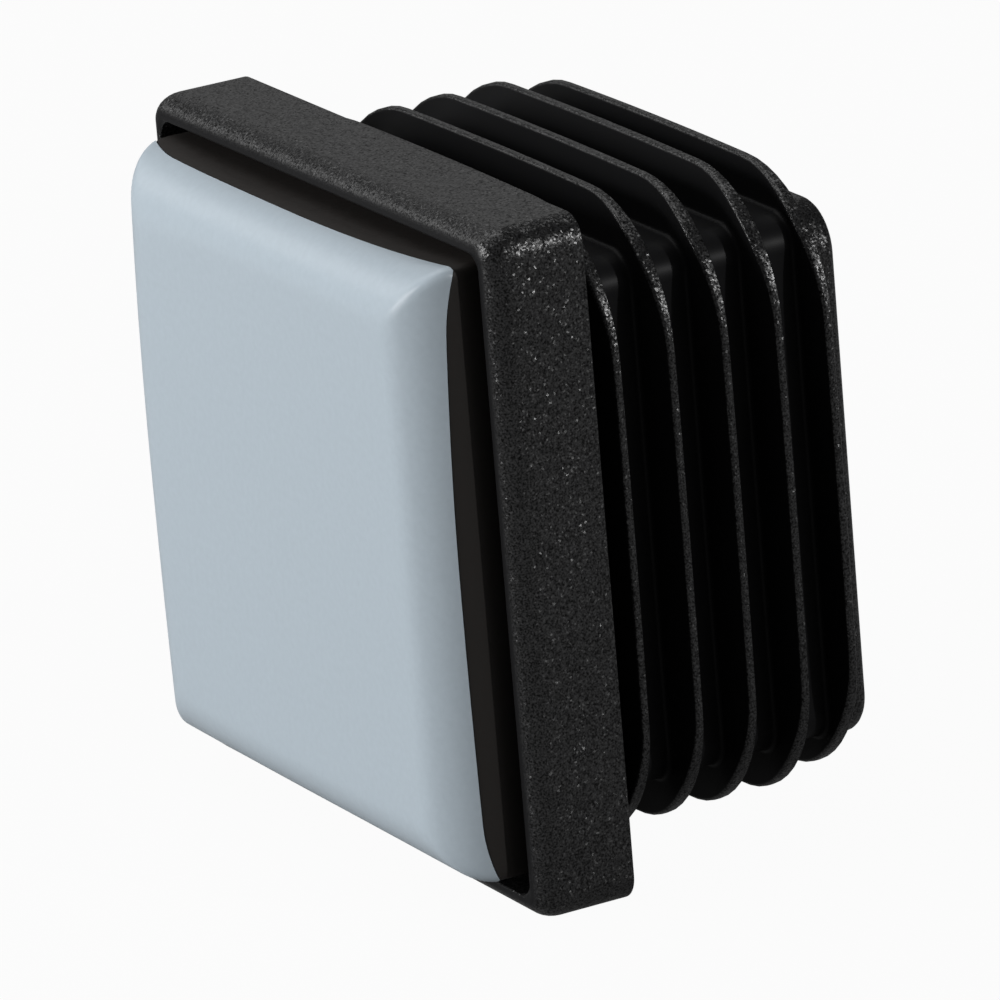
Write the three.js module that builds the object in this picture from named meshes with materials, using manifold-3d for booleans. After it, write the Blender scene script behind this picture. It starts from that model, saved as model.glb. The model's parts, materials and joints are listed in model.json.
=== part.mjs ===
// Square tube glide: a lamella plug that is pushed into the end of a square tube. Its head is a shallow
// tray that holds a rubber pad, and a formed PTFE cap on the pad is the face that slides on the floor.
// Millimetres. The plug lies as photographed: +Z is up, +Y runs along the plug into the tube, and the
// gliding face looks along -Y with its middle at the origin.
import * as THREE from 'three';
import { mergeVertices } from 'three/addons/utils/BufferGeometryUtils.js';
import Module from 'manifold-3d';

const wasm = await Module();
wasm.setup();

// The tube that the plug closes
const TUBE_WIDTH = 30;
const TUBE_WALL = 1.5;

// Head: a square tray, flush with the outside of the tube
const HEAD_CORNER_RADIUS = 1.2;
const RIM_WALL = 0.9;
const RIM_CREST_RADIUS = 0.8;
const TRAY_DEPTH = 3;
const WEB_THICKNESS = 1.5;
const WEB_LAP = 0.05;

// Plug: a hollow core, open at its end, with thin lamellae that bend inside the tube
const LAMELLA_COUNT = 5;
const LAMELLA_PITCH = 2.6;
const LAMELLA_THICKNESS = 0.45;
const LAMELLA_EDGE_RADIUS = 0.15;
const LAMELLA_OVERHANG = 2;
const LAMELLA_CORNER_RADIUS = 6;
const LAMELLA_INTERFERENCE = 0.4;
const LAST_LAMELLA_INSET = 0.3;
const FIRST_LAMELLA_STANDOFF = 1.45;
const CORE_END_LIP = 1.4;
const CORE_END_RADIUS = 0.5;
const CORE_CORNER_RADIUS = 2.5;
const CORE_WALL = 1.3;
const LEAST_CORNER_RADIUS = 0.3;

// Pad: a rubber block in the tray with a PTFE cap formed over its front
const PAD_GAP = 0.8;
const PAD_CORNER_RADIUS = 1.2;
const PAD_EDGE_RADIUS = 2.4;
const GLIDE_RISE = 3.15;
const PTFE_THICKNESS = 0.8;
const SKIRT_DEPTH = 1.65;
const SKIRT_EAR_DROP = 0.65;
const CAP_CLEARANCE = 0.3;
const ADHESIVE_THICKNESS = 0.25;
const ADHESIVE_MARGIN = 1;

// Colours and roughness, from the photograph
const POLYETHYLENE = { color: 0x2a2a2b, roughness: 0.55 };
const RUBBER = { color: 0x1f1e1e, roughness: 0.6 };
const PTFE = { color: 0xb6c2cb, roughness: 0.4 };
const ADHESIVE = { color: 0x3a3835, roughness: 0.7 };

// Roundness of the facets, and how far a cutting block reaches past what it cuts
const CORNER_SEGMENTS = 4;
const EDGE_SEGMENTS = 2;
const CREST_SEGMENTS = 4;
const SKIRT_SEGMENTS = 16;
const CUT_ALLOWANCE = 1;

// Sizes that follow from the ones above
const headWidth = TUBE_WIDTH;
const trayWidth = headWidth - 2 * RIM_WALL;
const trayCornerRadius = Math.max(HEAD_CORNER_RADIUS - RIM_WALL, LEAST_CORNER_RADIUS);
const crestRadius = Math.min(RIM_CREST_RADIUS, RIM_WALL, HEAD_CORNER_RADIUS - LEAST_CORNER_RADIUS);
const tubeBore = TUBE_WIDTH - 2 * TUBE_WALL;
const lamellaWidth = tubeBore + 2 * LAMELLA_INTERFERENCE;
const lamellaEdgeRadius = Math.min(LAMELLA_EDGE_RADIUS, LAMELLA_THICKNESS / 3);
const coreWidth = lamellaWidth - 2 * LAMELLA_OVERHANG;
const hollowWidth = coreWidth - 2 * CORE_WALL;
const hollowCornerRadius = Math.max(CORE_CORNER_RADIUS - CORE_WALL, LEAST_CORNER_RADIUS);
const padWidth = trayWidth - 2 * PAD_GAP;

// Planes across the plug, counted from the gliding face
const rimPlane = GLIDE_RISE;
const trayFloor = rimPlane + TRAY_DEPTH;
const seatPlane = trayFloor + WEB_THICKNESS;
const padBase = trayFloor - ADHESIVE_THICKNESS;
const firstLamella = seatPlane + FIRST_LAMELLA_STANDOFF;
const lastLamella = firstLamella + (LAMELLA_COUNT - 1) * LAMELLA_PITCH;
const plugEnd = lastLamella + LAMELLA_THICKNESS + CORE_END_LIP;

// A square with round corners, centred on the plug's axis
function roundedSquare(width, radius) {
  const half = width / 2;
  const flat = half - radius;
  const shape = new THREE.Shape();
  shape.absarc(flat, flat, radius, 0, Math.PI / 2);
  shape.absarc(-flat, flat, radius, Math.PI / 2, Math.PI);
  shape.absarc(-flat, -flat, radius, Math.PI, Math.PI * 1.5);
  shape.absarc(flat, -flat, radius, Math.PI * 1.5, Math.PI * 2);
  return shape;
}

// A closed solid for joins and cuts, from a geometry
function solidOf(geometry) {
  geometry.deleteAttribute('normal');
  geometry.deleteAttribute('uv');
  const merged = mergeVertices(geometry);
  const vertProperties = new Float32Array(merged.attributes.position.array);
  const triVerts = new Uint32Array(merged.index.array);
  return new wasm.Manifold(new wasm.Mesh({ numProp: 3, vertProperties, triVerts }));
}

// A square block along the plug, from one plane to another, with both end edges rounded if asked
function block(width, radius, from, to, edgeRadius = 0, edgeSegments = EDGE_SEGMENTS) {
  const geometry = new THREE.ExtrudeGeometry(roundedSquare(width, radius), {
    depth: to - from - 2 * edgeRadius,
    curveSegments: CORNER_SEGMENTS,
    bevelEnabled: edgeRadius > 0,
    bevelThickness: edgeRadius,
    bevelSize: edgeRadius,
    bevelOffset: -edgeRadius,
    bevelSegments: edgeSegments,
  });
  geometry.translate(0, 0, from + edgeRadius);
  geometry.rotateX(-Math.PI / 2);
  return solidOf(geometry);
}

// A shape drawn across the plug, looking down on it, and drawn out through its whole height
function drawnThrough(shape, span) {
  const geometry = new THREE.ExtrudeGeometry(shape, {
    depth: span,
    curveSegments: CORNER_SEGMENTS,
    bevelEnabled: false,
  });
  geometry.translate(0, 0, -span / 2);
  return geometry;
}

// The same outline seen from above and from the side, met in one solid with mitred corners
function crossed(shape, span) {
  const seenFromAbove = solidOf(drawnThrough(shape, span));
  const seenFromSide = solidOf(drawnThrough(shape, span).rotateY(Math.PI / 2));
  return [seenFromAbove, seenFromSide];
}

// A pad block with a rounded front edge: its sides curve in to a flat front
function pillow(width, cornerRadius, front, edgeRadius, back) {
  const half = width / 2;
  const outline = new THREE.Shape();
  outline.moveTo(half, back);
  outline.lineTo(-half, back);
  outline.absarc(-half + edgeRadius, front + edgeRadius, edgeRadius, Math.PI, Math.PI * 1.5);
  outline.absarc(half - edgeRadius, front + edgeRadius, edgeRadius, Math.PI * 1.5, Math.PI * 2);
  const [fromAbove, fromSide] = crossed(outline, width + 2 * CUT_ALLOWANCE);
  const plan = block(width, cornerRadius, front - CUT_ALLOWANCE, back + CUT_ALLOWANCE);
  return plan.intersect(fromAbove).intersect(fromSide);
}

// The space behind the cap's edge, which is drawn up between the corners on every side
function behindSkirt(clearance) {
  const reach = padWidth / 2 + CUT_ALLOWANCE;
  const middle = SKIRT_DEPTH + clearance;
  const corner = middle + SKIRT_EAR_DROP;
  const back = padBase + CUT_ALLOWANCE;
  const outline = new THREE.Shape();
  const arch = new THREE.QuadraticBezierCurve(
    new THREE.Vector2(-padWidth / 2, corner),
    new THREE.Vector2(0, 2 * middle - corner),
    new THREE.Vector2(padWidth / 2, corner),
  );
  outline.moveTo(-reach, back);
  outline.lineTo(-reach, corner);
  for (const point of arch.getPoints(SKIRT_SEGMENTS)) {
    outline.lineTo(point.x, point.y);
  }
  outline.lineTo(reach, corner);
  outline.lineTo(reach, back);
  const [fromAbove, fromSide] = crossed(outline, 2 * reach);
  return fromAbove.add(fromSide);
}

// Insert body: head, tray, core and lamellae are one moulding
function insertBody() {
  const head = block(
    headWidth,
    HEAD_CORNER_RADIUS,
    rimPlane,
    seatPlane + crestRadius,
    crestRadius,
    CREST_SEGMENTS,
  );
  const behindSeat = block(headWidth + 2 * CUT_ALLOWANCE, HEAD_CORNER_RADIUS, seatPlane, plugEnd);
  const opening = block(trayWidth, trayCornerRadius, rimPlane - CUT_ALLOWANCE, plugEnd);
  const rim = head.subtract(behindSeat).subtract(opening);
  const web = block(trayWidth + 2 * WEB_LAP, trayCornerRadius, trayFloor, seatPlane);
  const core = block(coreWidth, CORE_CORNER_RADIUS, trayFloor, plugEnd, CORE_END_RADIUS);
  let body = rim.add(web).add(core);
  for (let i = 0; i < LAMELLA_COUNT; i += 1) {
    const front = firstLamella + i * LAMELLA_PITCH;
    const inset = i === LAMELLA_COUNT - 1 ? LAST_LAMELLA_INSET : 0;
    const width = lamellaWidth - 2 * inset;
    const back = front + LAMELLA_THICKNESS;
    body = body.add(block(width, LAMELLA_CORNER_RADIUS, front, back, lamellaEdgeRadius));
  }
  const hollow = block(hollowWidth, hollowCornerRadius, seatPlane, plugEnd + CUT_ALLOWANCE);
  return body.subtract(hollow);
}

// PTFE cap: a sheet pressed over the front of the pad, its edge left deeper at the corners
function glideCap() {
  const outside = pillow(padWidth, PAD_CORNER_RADIUS, 0, PAD_EDGE_RADIUS, padBase);
  const inside = pillow(
    padWidth - 2 * PTFE_THICKNESS,
    Math.max(PAD_CORNER_RADIUS - PTFE_THICKNESS, LEAST_CORNER_RADIUS),
    PTFE_THICKNESS,
    Math.max(PAD_EDGE_RADIUS - PTFE_THICKNESS, LEAST_CORNER_RADIUS),
    padBase + CUT_ALLOWANCE,
  );
  return outside.subtract(inside).subtract(behindSkirt(0));
}

// Pad core: fills the cap, and is flush with it behind the cap's edge
function padCore() {
  const capRoom = PTFE_THICKNESS + CAP_CLEARANCE;
  const filling = pillow(
    padWidth - 2 * capRoom,
    Math.max(PAD_CORNER_RADIUS - capRoom, LEAST_CORNER_RADIUS),
    PTFE_THICKNESS,
    Math.max(PAD_EDGE_RADIUS - PTFE_THICKNESS, LEAST_CORNER_RADIUS),
    padBase,
  );
  const outside = pillow(padWidth, PAD_CORNER_RADIUS, 0, PAD_EDGE_RADIUS, padBase);
  return filling.add(outside.intersect(behindSkirt(CAP_CLEARANCE)));
}

// Adhesive film: holds the pad core on the floor of the tray
function padAdhesive() {
  return block(padWidth - 2 * ADHESIVE_MARGIN, PAD_CORNER_RADIUS, padBase, trayFloor);
}

// A named mesh of one solid with its own material
function piece(name, solid, finish) {
  const { vertProperties, triVerts } = solid.getMesh();
  const geometry = new THREE.BufferGeometry();
  geometry.setAttribute('position', new THREE.BufferAttribute(vertProperties, 3));
  geometry.setIndex(new THREE.BufferAttribute(triVerts, 1));
  geometry.computeVertexNormals();
  const material = new THREE.MeshStandardMaterial({ ...finish, metalness: 0 });
  const mesh = new THREE.Mesh(geometry, material);
  mesh.name = name;
  return mesh;
}

const glide = new THREE.Group();
glide.add(piece('insert_body', insertBody(), POLYETHYLENE));
glide.add(piece('pad_core', padCore(), RUBBER));
glide.add(piece('glide_cap', glideCap(), PTFE));
glide.add(piece('pad_adhesive', padAdhesive(), ADHESIVE));

export default glide;
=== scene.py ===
# %% [markdown]
# # A square tube glide
# This glide is pushed into the end of a square steel tube, and its pale face slides on the floor. It has a
# black moulded plug with thin lamellae, a rubber pad in the tray of its head, and a sheet of PTFE formed
# over the pad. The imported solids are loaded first. They are the frame: each detailed piece is made in
# the same place and at the same size as the solid that it stands for.

# %% Load the frame
import json
import math

import bmesh
import bpy
from mathutils import Matrix, Vector


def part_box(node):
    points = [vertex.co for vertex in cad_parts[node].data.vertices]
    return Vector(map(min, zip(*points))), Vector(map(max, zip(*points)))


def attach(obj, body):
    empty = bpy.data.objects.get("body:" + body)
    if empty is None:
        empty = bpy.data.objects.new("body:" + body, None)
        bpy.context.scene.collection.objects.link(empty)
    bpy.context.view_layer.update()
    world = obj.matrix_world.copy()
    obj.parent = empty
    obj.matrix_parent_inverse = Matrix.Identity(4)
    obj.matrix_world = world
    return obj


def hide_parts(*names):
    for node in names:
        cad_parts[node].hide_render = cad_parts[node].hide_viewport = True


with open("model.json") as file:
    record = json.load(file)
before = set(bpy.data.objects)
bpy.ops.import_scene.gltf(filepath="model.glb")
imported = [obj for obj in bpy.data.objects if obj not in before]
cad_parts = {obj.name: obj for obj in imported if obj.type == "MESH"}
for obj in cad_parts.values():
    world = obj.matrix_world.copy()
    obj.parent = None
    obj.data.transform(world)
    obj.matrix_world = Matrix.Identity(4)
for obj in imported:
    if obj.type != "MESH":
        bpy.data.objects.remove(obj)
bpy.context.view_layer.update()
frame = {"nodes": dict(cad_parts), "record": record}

print("solids:", sorted(frame["nodes"]))

# %% [markdown]
# ## Units and a clean start
# Blender works in metres here, and the glide is 30 mm wide, so every size on it is written in millimetres
# and multiplied by MM where an operator needs it. The driving sizes are read off the solids, so that the
# pieces fit them. Loading leaves the solids selected. An operator acts on all that is selected, so
# everything is deselected before a new piece is started.

# %% Units, solids and selection
MM = 0.001


def solid_box(node):
    """The lowest and the highest corner of a solid, in millimetres."""
    return [[round(c / MM, 2) for c in corner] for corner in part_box(node)]


def start_clean():
    """Leaves edit mode and deselects everything."""
    if bpy.context.object and bpy.context.object.mode != "OBJECT":
        bpy.ops.object.mode_set(mode="OBJECT")
    bpy.ops.object.select_all(action="DESELECT")


start_clean()
for node in sorted(frame["nodes"]):
    print(node, "from and to, in mm:", solid_box(node))

# %% [markdown]
# ## Camera
# The photograph was taken with a long lens from the front, the right and a little above. A camera fitted
# to the outline of the head and lamellae gave these angles. The long lens keeps the parallel edges of the
# head nearly parallel in the picture. A small roll turns the picture a little to the left.

# %% Camera
AZIMUTH = math.radians(61.969)
ELEVATION = math.radians(18.022)
ROLL = math.radians(-4.795)
FOCAL_PIXELS = 10267.33
PICTURE_PIXELS = 1000
SENSOR_WIDTH = 36
DISTANCE = 439
NEAREST_SEEN = 10
AIM = Vector((0, 12.65, 0))
AIM_RIGHT = -1.5
AIM_UP = -1.967

looking = Vector(
    (
        -math.sin(AZIMUTH) * math.cos(ELEVATION),
        math.cos(AZIMUTH) * math.cos(ELEVATION),
        -math.sin(ELEVATION),
    )
)
level_right = Vector((math.cos(AZIMUTH), math.sin(AZIMUTH), 0))
level_up = level_right.cross(looking)
picture_right = level_right * math.cos(ROLL) + level_up * math.sin(ROLL)
picture_up = level_up * math.cos(ROLL) - level_right * math.sin(ROLL)
eye = (AIM - looking * DISTANCE + picture_right * AIM_RIGHT + picture_up * AIM_UP) * MM

bpy.ops.object.camera_add(location=eye)
camera = bpy.context.object
camera.rotation_euler = Matrix((picture_right, picture_up, -looking)).transposed().to_euler()
camera.data.sensor_width = SENSOR_WIDTH
camera.data.lens = FOCAL_PIXELS / PICTURE_PIXELS * SENSOR_WIDTH
camera.data.clip_start = NEAREST_SEEN * MM
bpy.context.scene.camera = camera
print("camera at", [round(c, 3) for c in eye], "lens", round(camera.data.lens, 1))

# %% [markdown]
# ## The moulded plug as a row of sections
# Head, tray, core and lamellae are one injection moulding. It could be cut together from boxes, but then
# every root and edge would be sharp. Every section across the plug is a square with round corners, so the
# plug is drawn out of one face instead: the face is extruded, and the points of the new face are laid on
# the next outline, again and again. The list of sections is the profile of the moulding, from the floor of
# the tray over the rim, along the lamellae, and back into the hollow of the core.

# %% Outlines and roundings
CORNER_STEPS = 12
SIDE_STEPS = 8


def outline(plane, half, corner, crown=0, lead=0):
    """Points round a square with round corners, whose sides stand out by crown in the middle, and whose
    corners lie in front of the plane by lead."""
    straight = half - corner
    points = []
    for quadrant in range(4):
        turn = Matrix.Rotation(-quadrant * math.pi / 2, 3, "Y")
        for step in range(SIDE_STEPS):
            share = 2 * step / SIDE_STEPS - 1
            points.append(turn @ Vector((half + crown * (1 - share**2), plane, straight * share)))
        for step in range(CORNER_STEPS):
            angle = math.pi / 2 * step / CORNER_STEPS
            x, z = straight + corner * math.cos(angle), straight + corner * math.sin(angle)
            points.append(turn @ Vector((x, plane - lead * math.sin(2 * angle) ** 2, z)))
    return [point * MM for point in points]


def quarter(start, end, steps, first):
    """Sections on a quarter of an ellipse between two sections. first says what changes first where the
    curve starts: the plane of the section or its half width."""
    made = []
    for step in range(1, steps + 1):
        turn = math.pi / 2 * step / steps
        lead, lag = math.sin(turn), 1 - math.cos(turn)
        along, across = (lead, lag) if first == "plane" else (lag, lead)
        shares = [along] + [across] * (len(start) - 1)
        made.append(tuple(a + (b - a) * share for a, b, share in zip(start, end, shares)))
    return made


print("points in an outline:", 4 * (SIDE_STEPS + CORNER_STEPS))

# %% [markdown]
# ## Head
# The head is a square tray, 30 mm wide, flush with the outside of the tube. The front of its rim is fully
# rounded: a large rounding outside, deeper than it is wide, and a very small one inside. Each rounding is a
# quarter of an ellipse in sections, and the corner radius shrinks with it, as a cutter that runs round the
# edge would leave it.

# %% Sections of the head
HEAD_CORNER = 1.2
TRAY_CORNER = 0.9
TRAY_FILLET = 0.25
CREST_WIDTH = 0.9
CREST_DEPTH = 1.25
LIP_RADIUS = 0.1
BACK_EDGE = 0.08
CREST_STEPS = 8
FILLET_STEPS = 4
EDGE_STEPS = 3

plug_low, plug_high = solid_box("insert_body")
HEAD_HALF = plug_high[0]
RIM_PLANE = plug_low[1]
# The tube's end meets the back of the head, and the adhesive film lies on the floor of the tray.
tube_seat = next(mount for mount in frame["record"]["mounts"] if mount["name"] == "tube_seat")
SEAT_PLANE = round(tube_seat["pos_m"][1] / MM, 2)
TRAY_FLOOR = solid_box("pad_adhesive")[1][1]

crest = (RIM_PLANE, HEAD_HALF - CREST_WIDTH, HEAD_CORNER - CREST_WIDTH)
tray_half = HEAD_HALF - CREST_WIDTH - LIP_RADIUS
tray_wall = (TRAY_FLOOR - TRAY_FILLET, tray_half, TRAY_CORNER)
crest_back = (RIM_PLANE + CREST_DEPTH, HEAD_HALF, HEAD_CORNER)
back_edge = (SEAT_PLANE, HEAD_HALF - BACK_EDGE, HEAD_CORNER - BACK_EDGE)
head_sections = [(TRAY_FLOOR, tray_half - TRAY_FILLET, TRAY_CORNER)]
head_sections += quarter(head_sections[-1], tray_wall, FILLET_STEPS, "half")
head_sections.append((RIM_PLANE + LIP_RADIUS, tray_half, TRAY_CORNER))
head_sections += quarter(head_sections[-1], crest, CREST_STEPS, "plane")
head_sections += quarter(head_sections[-1], crest_back, CREST_STEPS, "half")
head_sections.append((SEAT_PLANE - BACK_EDGE, HEAD_HALF, HEAD_CORNER))
head_sections += quarter(head_sections[-1], back_edge, EDGE_STEPS, "plane")
print("sections in the head:", len(head_sections))

# %% [markdown]
# ## Core and lamellae
# Five thin lamellae stand on the core and bend when the plug goes into the tube. They taper from root to
# tip, as a moulding has to if it is to leave its mould, and their roots are rounded. That small root
# rounding shows: it catches a thin line of light between the lamellae. The front edge of each tip is
# rounded and the back edge is sharp, where the mould parts. A tip is thin along the sides and thicker at
# the corners, where it has to bend most. The sides of a lamella stand out a little in the middle, and the
# last lamella is smaller, so that the plug finds its way into the tube. Behind it, the free end of the
# core is a little wider than the core between the lamellae.

# %% Sections of one lamella
CORE_HALF = 11.65
CORE_CORNER = 1.4
LAMELLA_THICKNESS = 0.36
LAMELLA_CORNER = 6
LAMELLA_CROWN = 0.07
LAMELLA_ROOT = 0.6
LAMELLA_ROOT_FILLET = 0.22
TIP_RADIUS = 0.18
TIP_STEPS = 5
CORNER_LEAD = 0.26
TIP_BACK_EDGE = 0.03


def widened(half, corner, by):
    """The half width, corner and crown of a section of the core, widened by a fillet."""
    return half + by, corner + by, 0


def lamella(front, half, behind_half, behind_corner):
    """Sections over one lamella, from the core in front of it to the core behind it."""
    back = front + LAMELLA_THICKNESS
    taper = (LAMELLA_ROOT - LAMELLA_THICKNESS) / 2
    front_root = widened(CORE_HALF, CORE_CORNER, LAMELLA_ROOT_FILLET)
    back_root = widened(behind_half, behind_corner, LAMELLA_ROOT_FILLET)
    tip = (half, LAMELLA_CORNER, LAMELLA_CROWN)
    made = [(front - taper - LAMELLA_ROOT_FILLET, CORE_HALF, CORE_CORNER, 0)]
    made += quarter(made[-1], (front - taper, *front_root), FILLET_STEPS, "plane")
    made.append((front, half - TIP_RADIUS, LAMELLA_CORNER - TIP_RADIUS, LAMELLA_CROWN, CORNER_LEAD))
    made += quarter(made[-1], (front + TIP_RADIUS, *tip, CORNER_LEAD), TIP_STEPS, "half")
    made.append((back - TIP_BACK_EDGE, *tip))
    made.append((back, half - TIP_BACK_EDGE, LAMELLA_CORNER - TIP_BACK_EDGE, LAMELLA_CROWN))
    made.append((back + taper, *back_root))
    behind = (back + taper + LAMELLA_ROOT_FILLET, behind_half, behind_corner, 0)
    return made + quarter(made[-1], behind, FILLET_STEPS, "half")


# %% Sections of the core and lamellae
END_HALF = 11.9
END_CORNER = 2.1
ROOT_FILLET = 0.3
FIRST_LAMELLA = 9.19
LAMELLA_PITCH = 2.6
LAMELLA_COUNT = 5
LAMELLA_HALF = 13.87
LAST_LAMELLA_HALF = 13.49

core_front = (SEAT_PLANE + ROOT_FILLET, CORE_HALF, CORE_CORNER, 0)
last_front = FIRST_LAMELLA + (LAMELLA_COUNT - 1) * LAMELLA_PITCH
plug_sections = [(SEAT_PLANE, *widened(CORE_HALF, CORE_CORNER, ROOT_FILLET))]
plug_sections += quarter(plug_sections[-1], core_front, FILLET_STEPS, "half")
for number in range(LAMELLA_COUNT - 1):
    front = FIRST_LAMELLA + number * LAMELLA_PITCH
    plug_sections += lamella(front, LAMELLA_HALF, CORE_HALF, CORE_CORNER)
plug_sections += lamella(last_front, LAST_LAMELLA_HALF, END_HALF, END_CORNER)
free_end = plug_sections[-1][0]
print("sections in the core and lamellae:", len(plug_sections), "free end from", round(free_end, 2), "mm")

# %% [markdown]
# ## Open end and hollow
# The core is hollow and open at its end, which saves plastic and lets it give a little. The photograph
# does not show the inside, so it is plain: a square hollow with round corners, down to the head.

# %% Sections of the open end
PLUG_END = plug_high[1]
END_RADIUS = 0.5
END_STEPS = 5
HOLLOW_HALF = 10.6
HOLLOW_CORNER = 1.2
HOLLOW_EDGE = 0.2
HOLLOW_FILLET = 0.5

end_face = (PLUG_END, END_HALF - END_RADIUS, END_CORNER - END_RADIUS, 0)
hollow_mouth = (PLUG_END - HOLLOW_EDGE, HOLLOW_HALF, HOLLOW_CORNER)
hollow_floor = (SEAT_PLANE, HOLLOW_HALF - HOLLOW_FILLET, HOLLOW_CORNER - HOLLOW_FILLET)
end_sections = [(PLUG_END - END_RADIUS, END_HALF, END_CORNER, 0)]
end_sections += quarter(end_sections[-1], end_face, END_STEPS, "plane")
end_sections.append((PLUG_END, HOLLOW_HALF + HOLLOW_EDGE, HOLLOW_CORNER + HOLLOW_EDGE))
end_sections += quarter(end_sections[-1], hollow_mouth, EDGE_STEPS, "half")
end_sections.append((SEAT_PLANE + HOLLOW_FILLET, HOLLOW_HALF, HOLLOW_CORNER))
end_sections += quarter(end_sections[-1], hollow_floor, FILLET_STEPS, "plane")
print("sections in the open end:", len(end_sections))

# %% [markdown]
# ## Drawing the plug out
# A circle filled with one face is the start, with a point for each point of an outline. Each point carries
# its number in the outline, so that it is found again after each extrusion. The faces are then smoothed up
# to an angle, and a Weighted Normal modifier keeps the flat faces flat beside their small roundings.

# %% Extrusion
# Points that are closer than this, in metres, become one.
MERGE = 1e-7


def face_outwards():
    """Turns the faces of the piece in edit mode outwards, and leaves edit mode."""
    bpy.ops.mesh.select_all(action="SELECT")
    bpy.ops.mesh.normals_make_consistent(inside=False)
    bpy.ops.object.mode_set(mode="OBJECT")


def draw_out(sections):
    """Extrudes a face through a list of sections into one closed skin."""
    start_clean()
    count = len(outline(*sections[0]))
    bpy.ops.mesh.primitive_circle_add(vertices=count, fill_type="NGON", enter_editmode=True)
    mesh = bpy.context.object.data
    net = bmesh.from_edit_mesh(mesh)
    number = net.verts.layers.int.new("number")
    for order, vertex in enumerate(next(iter(net.faces)).verts):
        vertex[number] = order
    for order, section in enumerate(sections):
        if order > 0:
            bpy.ops.mesh.extrude_region_move()
        net = bmesh.from_edit_mesh(mesh)
        number = net.verts.layers.int["number"]
        points = outline(*section)
        for vertex in net.verts:
            if vertex.select:
                vertex.co = points[vertex[number]]
        bmesh.update_edit_mesh(mesh)
    bpy.ops.mesh.select_all(action="SELECT")
    bpy.ops.mesh.remove_doubles(threshold=MERGE)
    face_outwards()
    mesh.attributes.remove(mesh.attributes["number"])
    return bpy.context.object


# %% Draw the plug out
SMOOTH_ANGLE = math.radians(35)


def apply_modifier(kind, **settings):
    """Adds one modifier to the active piece, sets it and applies it."""
    bpy.ops.object.modifier_add(type=kind)
    modifier = bpy.context.object.modifiers[-1]
    for name, value in settings.items():
        setattr(modifier, name, value)
    bpy.ops.object.modifier_apply(modifier=modifier.name)


plug = draw_out(head_sections + plug_sections + end_sections)
bpy.ops.object.shade_smooth_by_angle(angle=SMOOTH_ANGLE)
apply_modifier("WEIGHTED_NORMAL", keep_sharp=True)
print("plug points:", len(plug.data.vertices))

# %% [markdown]
# ## PTFE cap
# The gliding face is a sheet of PTFE pressed over the front of the rubber pad. The press draws the sheet
# round the four front edges, so its flat front runs into a soft rounding, neighbouring roundings meet in a
# fold at each corner, and the cut edge of the sheet hangs lower at the corners, as small ears. No operator
# folds a sheet this way, so the sheet is a grid, and each of its points is laid on the pad in code: the
# rings of the grid become rings round the pad, and the last ring is the cut edge. A Solidify modifier then
# gives the sheet its thickness.

# %% Rounding and cut edge of the sheet
pad_high = solid_box("pad_core")[1]
PAD_HALF = pad_high[0]
# The rounding and the depth of the cut edge, in the middle of each side and at its corners. A corner is
# named by two numbers: 1 is right or top, and -1 is left or bottom. An ear reaches this far from it.
ROUNDING_AT_MIDDLE = {"right": 2.4, "left": 2.4, "top": 2.4, "bottom": 2.55}
ROUNDING_AT_CORNER = {(1, 1): 2.4, (-1, 1): 3.1, (1, -1): 2.5, (-1, -1): 2.7}
EDGE_AT_MIDDLE = {"right": 1.58, "left": 1.6, "top": 1.82, "bottom": 1.75}
EDGE_AT_CORNER = {(1, 1): 2.48, (-1, 1): 2.5, (1, -1): 2.25, (-1, -1): 2.3}
EAR_REACH = {(1, 1): 2.8, (-1, 1): 2.8, (1, -1): 2.6, (-1, -1): 2.6}
# How far the edge bows back from the middle to each end of a side: 1 is its right or top end.
EDGE_BOW = {
    ("right", 1): 0.45,
    ("right", -1): 0.15,
    ("left", 1): 0.15,
    ("left", -1): 0.15,
    ("top", 1): 0.64,
    ("top", -1): 0.2,
    ("bottom", 1): 0.15,
    ("bottom", -1): 0.15,
}


def rounding(side, corner, along):
    """The radius that the sheet is drawn over, at a share along a side."""
    middle = ROUNDING_AT_MIDDLE[side]
    return middle + (ROUNDING_AT_CORNER[corner] - middle) * along**2


def edge_depth(side, corner, along):
    """How far behind the gliding face the cut edge lies, at a share along a side."""
    middle, bow = EDGE_AT_MIDDLE[side], EDGE_BOW[side, 1 if along > 0 else -1]
    ear = EDGE_AT_CORNER[corner] - middle - bow
    reach = max(1 - (1 - abs(along)) * PAD_HALF / EAR_REACH[corner], 0)
    return middle + bow * along**2 + ear * reach**2


top_edge = [round(edge_depth("top", (1, 1), along), 2) for along in (0, 1)]
print("depth of the cut edge at the top, in the middle and on the right, in mm:", top_edge)

# %% Points on the pad
FOLD_RADIUS = 0.45
# The fold shrinks to nothing in the middle of the front. This keeps it from dividing by zero there.
LEAST_FOLD = 1e-7
TOP_CORNER_RISE = 0.25
RISE_POWER = 4


def along_rounding(depth, radius):
    """The length of surface from the start of the rounding to a given depth."""
    if depth < radius:
        return radius * math.acos(1 - depth / radius)
    return radius * math.pi / 2 + depth - radius


def on_rounding(length, radius, inset):
    """Depth and half width at a length of surface, at a distance inside the surface."""
    straight = max(length - radius * math.pi / 2, 0)
    turn = min(length / radius, math.pi / 2)
    depth = radius - (radius - inset) * math.cos(turn) + straight
    return depth, PAD_HALF - radius + (radius - inset) * math.sin(turn)


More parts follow.
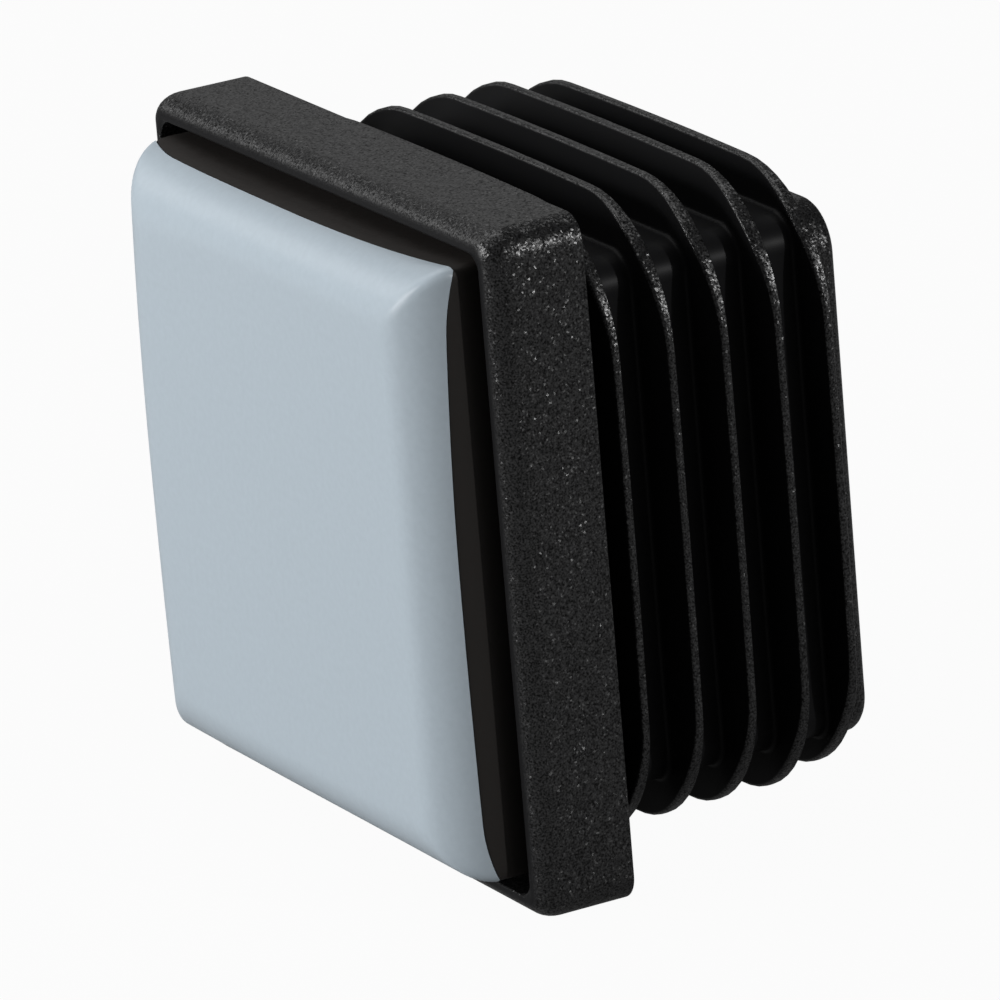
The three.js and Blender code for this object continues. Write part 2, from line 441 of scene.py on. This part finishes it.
def on_side(side, half, along, depth, flat):
    """A point on one side of the pad, at a share along it, with the fold at the corner rounded. On the
    flat front, flat shrinks the half width and the fold towards the middle. The pad's two top corners
    are drawn up a little."""
    half = half * flat
    fold = max(FOLD_RADIUS * flat, LEAST_FOLD)
    reach = abs(along) * half
    turn = math.pi / 4 * max(reach - half + fold, 0) / fold
    out = half - fold + fold * math.cos(turn)
    across = math.copysign(min(reach, half - fold) + fold * math.sin(turn), along)
    x, z = {
        "right": (out, across),
        "left": (-out, across),
        "top": (across, out),
        "bottom": (across, -out),
    }[side]
    rise = TOP_CORNER_RISE * (x / PAD_HALF) ** RISE_POWER * (max(z, 0) / PAD_HALF) ** RISE_POWER
    return Vector((x, depth, z + rise)) * MM


# %% A grid of rings
def place_of(column, row):
    """The ring, side, share along the side and corner of a grid point, counted from the middle."""
    ring = max(abs(column), abs(row))
    if abs(column) >= abs(row):
        side, along = ("right" if column > 0 else "left"), row / max(ring, 1)
    else:
        side, along = ("top" if row > 0 else "bottom"), column / ring
    corner = (1 if column > 0 else -1, 1 if row > 0 else -1)
    return ring, side, math.sin(along * math.pi / 2), corner


def add_sheet(rings):
    """A flat grid of square rings, in object mode, with its points counted from the middle."""
    start_clean()
    bpy.ops.mesh.primitive_grid_add(x_subdivisions=2 * rings, y_subdivisions=2 * rings, size=2)
    sheet = bpy.context.object
    counts = [(round(v.co.x * rings), round(v.co.y * rings)) for v in sheet.data.vertices]
    return sheet, counts


# %% Press the sheet
FLAT_RINGS = 10
ROUND_RINGS = 22

cap, counts = add_sheet(FLAT_RINGS + ROUND_RINGS)
for vertex, (column, row) in zip(cap.data.vertices, counts):
    ring, side, along, corner = place_of(column, row)
    radius = rounding(side, corner, along)
    flat = min(ring / FLAT_RINGS, 1)
    drawn = max(ring - FLAT_RINGS, 0) / ROUND_RINGS
    length = drawn * along_rounding(edge_depth(side, corner, along), radius)
    depth, half = on_rounding(length, radius, 0)
    vertex.co = on_side(side, half, along, depth, flat)
bpy.ops.object.mode_set(mode="EDIT")
face_outwards()
front_face = min(cap.data.polygons, key=lambda face: face.center.length)
print("front face looks along", [round(c, 2) for c in front_face.normal])

# %% Give the sheet its thickness
SHEET_THICKNESS = 0.6

apply_modifier("SOLIDIFY", thickness=SHEET_THICKNESS * MM, offset=-1, use_even_offset=True)
bpy.ops.object.shade_smooth_by_angle(angle=SMOOTH_ANGLE)
print("cap faces:", len(cap.data.polygons))

# %% [markdown]
# ## Rubber pad
# The pad under the cap is a smooth block of rubber. Its sides show between the cut edge of the PTFE and
# the rim, flush with the PTFE. It is made as the cap is, from a grid laid on the same shape: under the cap
# it lies just inside the sheet, at the cut edge it steps out, and then it runs straight back to its base.
# The edge of the grid is left open there, and one face closes it.

# %% Form the pad
PAD_BASE = pad_high[1]
SHEET_ROOM = 0.05
FLUSH_INSET = 0.03
EDGE_ROOM = 0.03
COVERED_RINGS = 12
WALL_RINGS = 12

pad, counts = add_sheet(FLAT_RINGS + COVERED_RINGS + WALL_RINGS)
inside = SHEET_THICKNESS + SHEET_ROOM
for vertex, (column, row) in zip(pad.data.vertices, counts):
    ring, side, along, corner = place_of(column, row)
    radius = rounding(side, corner, along)
    edge_length = along_rounding(edge_depth(side, corner, along), radius) + EDGE_ROOM
    flat = min(ring / FLAT_RINGS, 1)
    covered = min(max(ring - FLAT_RINGS, 0) / COVERED_RINGS, 1)
    depth, half = on_rounding(covered * edge_length, radius, inside)
    wall_ring = ring - FLAT_RINGS - COVERED_RINGS
    if wall_ring > 0:
        first = on_rounding(edge_length, radius, FLUSH_INSET)[0]
        wanted = first + (PAD_BASE - first) * (wall_ring - 1) / (WALL_RINGS - 1)
        depth, half = on_rounding(along_rounding(wanted, radius), radius, FLUSH_INSET)
    vertex.co = on_side(side, half, along, min(depth, PAD_BASE), flat)
print("pad points:", len(pad.data.vertices))

# %% Close the pad's base
bpy.ops.object.mode_set(mode="EDIT")
bpy.ops.mesh.select_all(action="DESELECT")
bpy.ops.mesh.select_mode(type="EDGE")
bpy.ops.mesh.select_non_manifold()
bpy.ops.mesh.edge_face_add()
face_outwards()
bpy.ops.object.shade_smooth_by_angle(angle=SMOOTH_ANGLE)
print("pad faces:", len(pad.data.polygons))

# %% [markdown]
# ## Materials
# One function turns an sRGB hex colour into the linear numbers that the shader wants, and one adds a node
# with its settings and links. Patterns read Object coordinates, in metres, so a pattern of grains 0.1 mm
# wide needs a scale of 1 / 0.0001. A noise keeps mostly between the two shares named here, so a range
# that follows a noise starts and ends there. A Mix node for colours has its factor on socket 0 and its
# two colours on sockets 6 and 7.

# %% Material helpers
NOISE_LOW = 0.3
NOISE_HIGH = 0.7


def colour(code):
    """An sRGB hex colour as linear red, green, blue and alpha."""
    parts = [int(code[i : i + 2], 16) / 255 for i in (0, 2, 4)]
    return [c / 12.92 if c <= 0.04045 else ((c + 0.055) / 1.055) ** 2.4 for c in parts] + [1]


def add_node(tree, kind, inputs=None, **settings):
    """Adds one node. inputs gives a value, or another node's output, for each socket that it names."""
    made = tree.nodes.new(kind)
    for name, value in settings.items():
        setattr(made, name, value)
    for socket, value in (inputs or {}).items():
        if isinstance(value, bpy.types.NodeSocket):
            tree.links.new(value, made.inputs[socket])
        else:
            made.inputs[socket].default_value = value
    return made


def new_finish(name):
    """An empty node material, and its tree."""
    finish = bpy.data.materials.new(name)
    finish.use_nodes = True
    finish.node_tree.nodes.clear()
    return finish, finish.node_tree


# %% [markdown]
# ## Black polyethylene, moulded against a spark-eroded tool
# The plug is low-density polyethylene with carbon black. The steel of its mould was spark-eroded, which
# leaves a grain of craters less than 0.1 mm wide: the surface looks dull, and single grains glint. The
# grain is on the sides of the head, the free end of the core and the outer edges of the lamellae. The
# faces of the lamellae and the front of the rim are smooth. So the first nodes work out where the grain
# is, from the place on the plug and the way the surface looks. The distance from a square with the
# lamellae's straight sides is the same all along the edge of a lamella, so it finds those edges.

# %% Places with grain: along the plug and at the edges of the lamellae
GRAIN_BAND = 0.8
GRAIN_FADE = 0.1

polyethylene, tree = new_finish("moulded_black_polyethylene")
place = add_node(tree, "ShaderNodeTexCoord").outputs["Object"]
axis = add_node(tree, "ShaderNodeSeparateXYZ", {"Vector": place})
on_head = add_node(
    tree,
    "ShaderNodeMapRange",
    {
        "Value": axis.outputs["Y"],
        "From Min": SEAT_PLANE * MM,
        "From Max": (SEAT_PLANE + GRAIN_FADE) * MM,
        "To Min": 1.0,
        "To Max": 0.0,
    },
)
on_end = add_node(
    tree,
    "ShaderNodeMapRange",
    {"Value": axis.outputs["Y"], "From Min": (free_end - GRAIN_FADE) * MM, "From Max": free_end * MM},
)
straight_side = (LAMELLA_HALF - LAMELLA_CORNER) * MM
across = add_node(tree, "ShaderNodeCombineXYZ", {"X": axis.outputs["X"], "Z": axis.outputs["Z"]})
across = add_node(tree, "ShaderNodeVectorMath", {0: across.outputs[0]}, operation="ABSOLUTE")
across = add_node(
    tree,
    "ShaderNodeVectorMath",
    {0: across.outputs[0], 1: (straight_side, 0, straight_side)},
    operation="SUBTRACT",
)
across = add_node(tree, "ShaderNodeVectorMath", {0: across.outputs[0], 1: (0, 0, 0)}, operation="MAXIMUM")
across = add_node(tree, "ShaderNodeVectorMath", {0: across.outputs[0]}, operation="LENGTH")
at_edge = add_node(
    tree,
    "ShaderNodeMapRange",
    {
        "Value": across.outputs["Value"],
        "From Min": (LAMELLA_CORNER - GRAIN_BAND) * MM,
        "From Max": (LAMELLA_CORNER - GRAIN_BAND + GRAIN_FADE) * MM,
    },
)
print("grain reaches", GRAIN_BAND, "mm in from the edge of a lamella")

# %% Places with grain: where the surface looks outward
# The share of the normal along the plug, where the grain begins to fade and where it has gone.
LAST_OUTWARD = 0.8
FIRST_ALONG = 0.97

surface = add_node(tree, "ShaderNodeNewGeometry").outputs["Normal"]
turned = add_node(tree, "ShaderNodeSeparateXYZ", {"Vector": surface})
turned = add_node(tree, "ShaderNodeMath", {0: turned.outputs["Y"]}, operation="ABSOLUTE")
outward = add_node(
    tree,
    "ShaderNodeMapRange",
    {
        "Value": turned.outputs[0],
        "From Min": LAST_OUTWARD,
        "From Max": FIRST_ALONG,
        "To Min": 1.0,
        "To Max": 0.0,
    },
)
grained = add_node(
    tree,
    "ShaderNodeMath",
    {0: on_head.outputs["Result"], 1: on_end.outputs["Result"]},
    operation="MAXIMUM",
)
grained = add_node(
    tree, "ShaderNodeMath", {0: grained.outputs[0], 1: at_edge.outputs["Result"]}, operation="MAXIMUM"
)
grained = add_node(
    tree, "ShaderNodeMath", {0: grained.outputs[0], 1: outward.outputs["Result"]}, operation="MULTIPLY"
)
print("nodes that place the grain:", len(tree.nodes))

# %% [markdown]
# ## Craters of the grain
# Each spark left a small crater, and each crater's floor is tilted its own way, so that one here and there
# throws the light at the eye. A bumpy noise would give an even sheen instead, so each crater is a cell of a
# Voronoi pattern with a tilt of its own. A finer noise breaks the craters up.

# %% Tilted craters
GRAIN_MM = 0.085
GRAIN_TILT = 0.33
FINE_GRAIN_MM = 0.05
FINE_GRAIN_DEPTH = 0.004
MIDDLE_COLOUR = (0.5, 0.5, 0.5)

crater = add_node(tree, "ShaderNodeTexVoronoi", {"Vector": place, "Scale": 1 / (GRAIN_MM * MM)})
way = add_node(
    tree,
    "ShaderNodeVectorMath",
    {0: crater.outputs["Color"], 1: MIDDLE_COLOUR},
    operation="SUBTRACT",
)
way = add_node(tree, "ShaderNodeVectorMath", {0: way.outputs[0]}, operation="NORMALIZE")
chance = add_node(tree, "ShaderNodeTexWhiteNoise", {"Vector": crater.outputs["Position"]})
amount = add_node(
    tree, "ShaderNodeMath", {0: chance.outputs["Value"], 1: GRAIN_TILT}, operation="MULTIPLY"
)
amount = add_node(
    tree, "ShaderNodeMath", {0: amount.outputs[0], 1: grained.outputs[0]}, operation="MULTIPLY"
)
tilt = add_node(
    tree,
    "ShaderNodeVectorMath",
    {0: way.outputs[0], "Scale": amount.outputs[0]},
    operation="SCALE",
)
facing = add_node(tree, "ShaderNodeVectorMath", {0: surface, 1: tilt.outputs[0]}, operation="ADD")
facing = add_node(tree, "ShaderNodeVectorMath", {0: facing.outputs[0]}, operation="NORMALIZE")
fine = add_node(
    tree, "ShaderNodeTexNoise", {"Vector": place, "Scale": 1 / (FINE_GRAIN_MM * MM), "Detail": 1.0}
)
bump = add_node(
    tree,
    "ShaderNodeBump",
    {
        "Height": fine.outputs["Fac"],
        "Strength": grained.outputs[0],
        "Distance": FINE_GRAIN_DEPTH * MM,
        "Normal": facing.outputs[0],
    },
)
most_tilt = round(math.degrees(math.asin(GRAIN_TILT)))
print("craters:", GRAIN_MM, "mm wide, tilted by up to", most_tilt, "degrees")

# %% [markdown]
# ## Pits and sheen of the polyethylene
# The pits of the grain lie in their own shade, and that shade is painted into the base colour: a second
# noise as coarse as the craters makes the pits darker than the high spots between them, and makes them
# reflect less. The core and the faces of the lamellae are smooth and reflect little. The grain is crisper
# and glints.

# %% Moulded polyethylene
SMOOTH_ROUGHNESS = 0.4
GRAIN_ROUGHNESS = 0.3
SMOOTH_REFLECTION = 0.08
PIT_REFLECTION = 0.15
HIGH_SPOT_REFLECTION = 0.85

pits = add_node(tree, "ShaderNodeTexNoise", {"Vector": place, "Scale": 1 / (GRAIN_MM * MM), "Detail": 1.0})
height = add_node(
    tree,
    "ShaderNodeMapRange",
    {"Value": pits.outputs["Fac"], "From Min": NOISE_LOW, "From Max": NOISE_HIGH},
)
# Painted shade: the pits of the grain get a darker base colour than the high spots between them.
painted_pit_shade = add_node(
    tree,
    "ShaderNodeMix",
    {0: height.outputs["Result"], 6: colour("060606"), 7: colour("252526")},
    data_type="RGBA",
)
# The painted pit shade goes only where there is grain, and the smooth faces keep one flat colour.
tint = add_node(
    tree,
    "ShaderNodeMix",
    {0: grained.outputs[0], 6: colour("1a1a1b"), 7: painted_pit_shade.outputs[2]},
    data_type="RGBA",
)
gloss = add_node(
    tree,
    "ShaderNodeMapRange",
    {"Value": grained.outputs[0], "To Min": SMOOTH_ROUGHNESS, "To Max": GRAIN_ROUGHNESS},
)
glint = add_node(
    tree,
    "ShaderNodeMapRange",
    {"Value": height.outputs["Result"], "To Min": PIT_REFLECTION, "To Max": HIGH_SPOT_REFLECTION},
)
shine = add_node(
    tree,
    "ShaderNodeMapRange",
    {"Value": grained.outputs[0], "To Min": SMOOTH_REFLECTION, "To Max": glint.outputs["Result"]},
)
shader = add_node(
    tree,
    "ShaderNodeBsdfPrincipled",
    {
        "Base Color": tint.outputs[2],
        "Roughness": gloss.outputs["Result"],
        "IOR": 1.51,
        "Specular IOR Level": shine.outputs["Result"],
        "Normal": bump.outputs["Normal"],
    },
)
add_node(tree, "ShaderNodeOutputMaterial", {"Surface": shader.outputs["BSDF"]})
print(polyethylene.name, "nodes:", len(tree.nodes))

# %% [markdown]
# ## Black rubber
# The pad is moulded from smooth black rubber. It is darker and warmer than the plug, and duller. One noise
# makes its sheen cloudy and its surface faintly uneven.

# %% Moulded rubber
RUBBER_CLOUD_MM = 0.5
RUBBER_BUMP_DEPTH = 0.02
RUBBER_LEAST_ROUGH = 0.5
RUBBER_MOST_ROUGH = 0.64

rubber, tree = new_finish("moulded_black_rubber")
place = add_node(tree, "ShaderNodeTexCoord").outputs["Object"]
cloud = add_node(
    tree, "ShaderNodeTexNoise", {"Vector": place, "Scale": 1 / (RUBBER_CLOUD_MM * MM), "Detail": 4.0}
)
dull = add_node(
    tree,
    "ShaderNodeMapRange",
    {
        "Value": cloud.outputs["Fac"],
        "From Min": NOISE_LOW,
        "From Max": NOISE_HIGH,
        "To Min": RUBBER_LEAST_ROUGH,
        "To Max": RUBBER_MOST_ROUGH,
    },
)
bump = add_node(
    tree,
    "ShaderNodeBump",
    {"Height": cloud.outputs["Fac"], "Strength": 0.2, "Distance": RUBBER_BUMP_DEPTH * MM},
)
shader = add_node(
    tree,
    "ShaderNodeBsdfPrincipled",
    {
        "Base Color": colour("292624"),
        "Roughness": dull.outputs["Result"],
        "IOR": 1.52,
        "Specular IOR Level": 0.2,
        "Normal": bump.outputs["Normal"],
    },
)
add_node(tree, "ShaderNodeOutputMaterial", {"Surface": shader.outputs["BSDF"]})
print(rubber.name, "nodes:", len(tree.nodes))

# %% [markdown]
# ## PTFE sheet
# PTFE is skived from a block into sheet: waxy and satin. This one is filled to a pale blue-grey. A fine
# grain in the tint and a faint cloud in the sheen keep it from looking painted.

# %% Skived PTFE
PTFE_CLOUD_MM = 1.2
PTFE_GRAIN_MM = 0.3
PTFE_LEAST_ROUGH = 0.28
PTFE_MOST_ROUGH = 0.33

ptfe, tree = new_finish("skived_grey_ptfe")
place = add_node(tree, "ShaderNodeTexCoord").outputs["Object"]
cloud = add_node(
    tree, "ShaderNodeTexNoise", {"Vector": place, "Scale": 1 / (PTFE_CLOUD_MM * MM), "Detail": 1.0}
)
fine = add_node(
    tree, "ShaderNodeTexNoise", {"Vector": place, "Scale": 1 / (PTFE_GRAIN_MM * MM), "Detail": 3.0}
)
tint = add_node(
    tree,
    "ShaderNodeMix",
    {0: fine.outputs["Fac"], 6: colour("aebac3"), 7: colour("b8c4cd")},
    data_type="RGBA",
)
satin = add_node(
    tree,
    "ShaderNodeMapRange",
    {
        "Value": cloud.outputs["Fac"],
        "From Min": NOISE_LOW,
        "From Max": NOISE_HIGH,
        "To Min": PTFE_LEAST_ROUGH,
        "To Max": PTFE_MOST_ROUGH,
    },
)
shader = add_node(
    tree,
    "ShaderNodeBsdfPrincipled",
    {"Base Color": tint.outputs[2], "Roughness": satin.outputs["Result"], "IOR": 1.38},
)
add_node(tree, "ShaderNodeOutputMaterial", {"Surface": shader.outputs["BSDF"]})
print(ptfe.name, "nodes:", len(tree.nodes))

# %% [markdown]
# ## Adhesive film
# A thin double-sided film holds the pad in the tray. It lies under the pad, out of sight, so its solid is
# detailed enough and stays, with a dull grey finish.

# %% Adhesive film
FILM_CLOUD_MM = 0.8
FILM_LEAST_ROUGH = 0.6
FILM_MOST_ROUGH = 0.8

film, tree = new_finish("acrylic_adhesive_film")
place = add_node(tree, "ShaderNodeTexCoord").outputs["Object"]
cloud = add_node(
    tree, "ShaderNodeTexNoise", {"Vector": place, "Scale": 1 / (FILM_CLOUD_MM * MM), "Detail": 3.0}
)
dull = add_node(
    tree,
    "ShaderNodeMapRange",
    {
        "Value": cloud.outputs["Fac"],
        "From Min": NOISE_LOW,
        "From Max": NOISE_HIGH,
        "To Min": FILM_LEAST_ROUGH,
        "To Max": FILM_MOST_ROUGH,
    },
)
shader = add_node(
    tree,
    "ShaderNodeBsdfPrincipled",
    {"Base Color": colour("3a3835"), "Roughness": dull.outputs["Result"], "IOR": 1.48},
)
add_node(tree, "ShaderNodeOutputMaterial", {"Surface": shader.outputs["BSDF"]})
print(film.name, "nodes:", len(tree.nodes))

# %% [markdown]
# ## Handing the pieces over
# Each finished piece gets its name and its finish, rides on the body of the glide, and stands for its
# solid, which is then hidden. The glide has no moving part, so it has one body, root. The film's solid is
# already right and only gets its finish.

# %% Hand the pieces over


def hand_over(piece, name, solid, finish):
    """Names a finished piece, gives it its finish, and lets it stand for its solid."""
    piece.name = name
    piece.data.name = name
    piece.data.materials.clear()
    piece.data.materials.append(finish)
    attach(piece, "root")
    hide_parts(solid)
    spans = [[vertex.co[k] / MM for vertex in piece.data.vertices] for k in range(3)]
    size = [round(max(span) - min(span), 2) for span in spans]
    print(name, "faces:", len(piece.data.polygons), "size in mm:", size)


hand_over(plug, "lamella_plug", "insert_body", polyethylene)
hand_over(pad, "rubber_pad", "pad_core", rubber)
hand_over(cap, "ptfe_cap", "glide_cap", ptfe)
frame["nodes"]["pad_adhesive"].data.materials.clear()
frame["nodes"]["pad_adhesive"].data.materials.append(film)

# %% [markdown]
# ## Floor
# The glide lies on one side of its head on plain paper, which the camera sees as white with a trace of
# shadow. To the light it is grey, so that it does not lift the black plastic from below. A Light Path node
# tells the two apart, and lets reflections see a little of the white. The floor is sized in metres.

# %% Floor
FLOOR_SIZE = 4
PAPER_SEEN = 0.96
PAPER_MIRRORED = 0.08

bpy.ops.mesh.primitive_plane_add(size=FLOOR_SIZE, location=(0, 0, -HEAD_HALF * MM))
floor = bpy.context.object
floor.name = "floor"
paper, tree = new_finish("studio_paper")
shader = add_node(tree, "ShaderNodeBsdfDiffuse", {"Color": colour("8c8c8c")})
white = add_node(tree, "ShaderNodeEmission", {"Color": colour("ffffff"), "Strength": 1.0})
path = add_node(tree, "ShaderNodeLightPath")
mirrored = add_node(
    tree,
    "ShaderNodeMath",
    {0: path.outputs["Is Glossy Ray"], 1: path.outputs["Is Transmission Ray"]},
    operation="MAXIMUM",
)
mirrored = add_node(
    tree, "ShaderNodeMath", {0: mirrored.outputs[0], 1: PAPER_MIRRORED}, operation="MULTIPLY"
)
seen = add_node(
    tree, "ShaderNodeMath", {0: path.outputs["Is Camera Ray"], 1: PAPER_SEEN}, operation="MULTIPLY"
)
share = add_node(
    tree, "ShaderNodeMath", {0: seen.outputs[0], 1: mirrored.outputs[0]}, operation="MAXIMUM"
)
both = add_node(
    tree,
    "ShaderNodeMixShader",
    {0: share.outputs[0], 1: shader.outputs["BSDF"], 2: white.outputs["Emission"]},
)
add_node(tree, "ShaderNodeOutputMaterial", {"Surface": both.outputs["Shader"]})
floor.data.materials.append(paper)
print("floor at", round(floor.location.z / MM, 2), "mm")

# %% [markdown]
# ## Light
# The room is dim, and the camera sees it as white as the paper. A soft light low in front shows the PTFE, a
# smaller one above it draws the light along the folds, and one hangs overhead. Panels on the left light the
# rim and the top of the head. At the back right, a small hard light with a panel beside it makes the grain
# glint along the corners. Every light is turned to the middle of the gliding face.

# %% Room
ROOM_SEEN = 0.965
ROOM_LIGHT = 0.06

world = bpy.data.worlds.new("studio")
bpy.context.scene.world = world
world.use_nodes = True
tree = world.node_tree
tree.nodes.clear()
path = add_node(tree, "ShaderNodeLightPath")
seen = add_node(
    tree, "ShaderNodeMath", {0: path.outputs["Is Camera Ray"], 1: ROOM_SEEN}, operation="MULTIPLY"
)
level = add_node(tree, "ShaderNodeMath", {0: seen.outputs[0], 1: ROOM_LIGHT}, operation="MAXIMUM")
room = add_node(tree, "ShaderNodeBackground", {"Color": colour("ffffff"), "Strength": level.outputs[0]})
add_node(tree, "ShaderNodeOutputWorld", {"Surface": room.outputs["Background"]})
print("room light:", ROOM_LIGHT)

# %% Lights
# Each light's place and size are in metres, and its power is in watts.
LIGHTS = {
    "front": ((-0.1, -0.34, 0.08), 0.25, 1.22),
    "front_high": ((-0.03, -0.53, 0.28), 0.1, 0.6),
    "above": ((-0.2, -0.02, 0.56), 0.5, 1.15),
    "left_front": ((-0.45, -0.22, 0.26), 0.25, 0.25),
    "left_back": ((-0.48, 0.21, 0.17), 0.3, 0.065),
    "right_back": ((0.606, 0.331, 0.266), 0.02, 1.6),
    "right_panel": ((0.62, 0.33, 0.2), 0.4, 0.36),
}
for name, (spot, size, power) in LIGHTS.items():
    bpy.ops.object.light_add(type="AREA", location=spot)
    lamp = bpy.context.object
    lamp.name = name
    lamp.data.shape = "SQUARE"
    lamp.data.size = size
    lamp.data.energy = power
    lamp.rotation_euler = (-Vector(spot)).to_track_quat("-Z", "Y").to_euler()
    print(name, "light:", power, "W")
bpy.context.scene.view_settings.view_transform = "Standard"
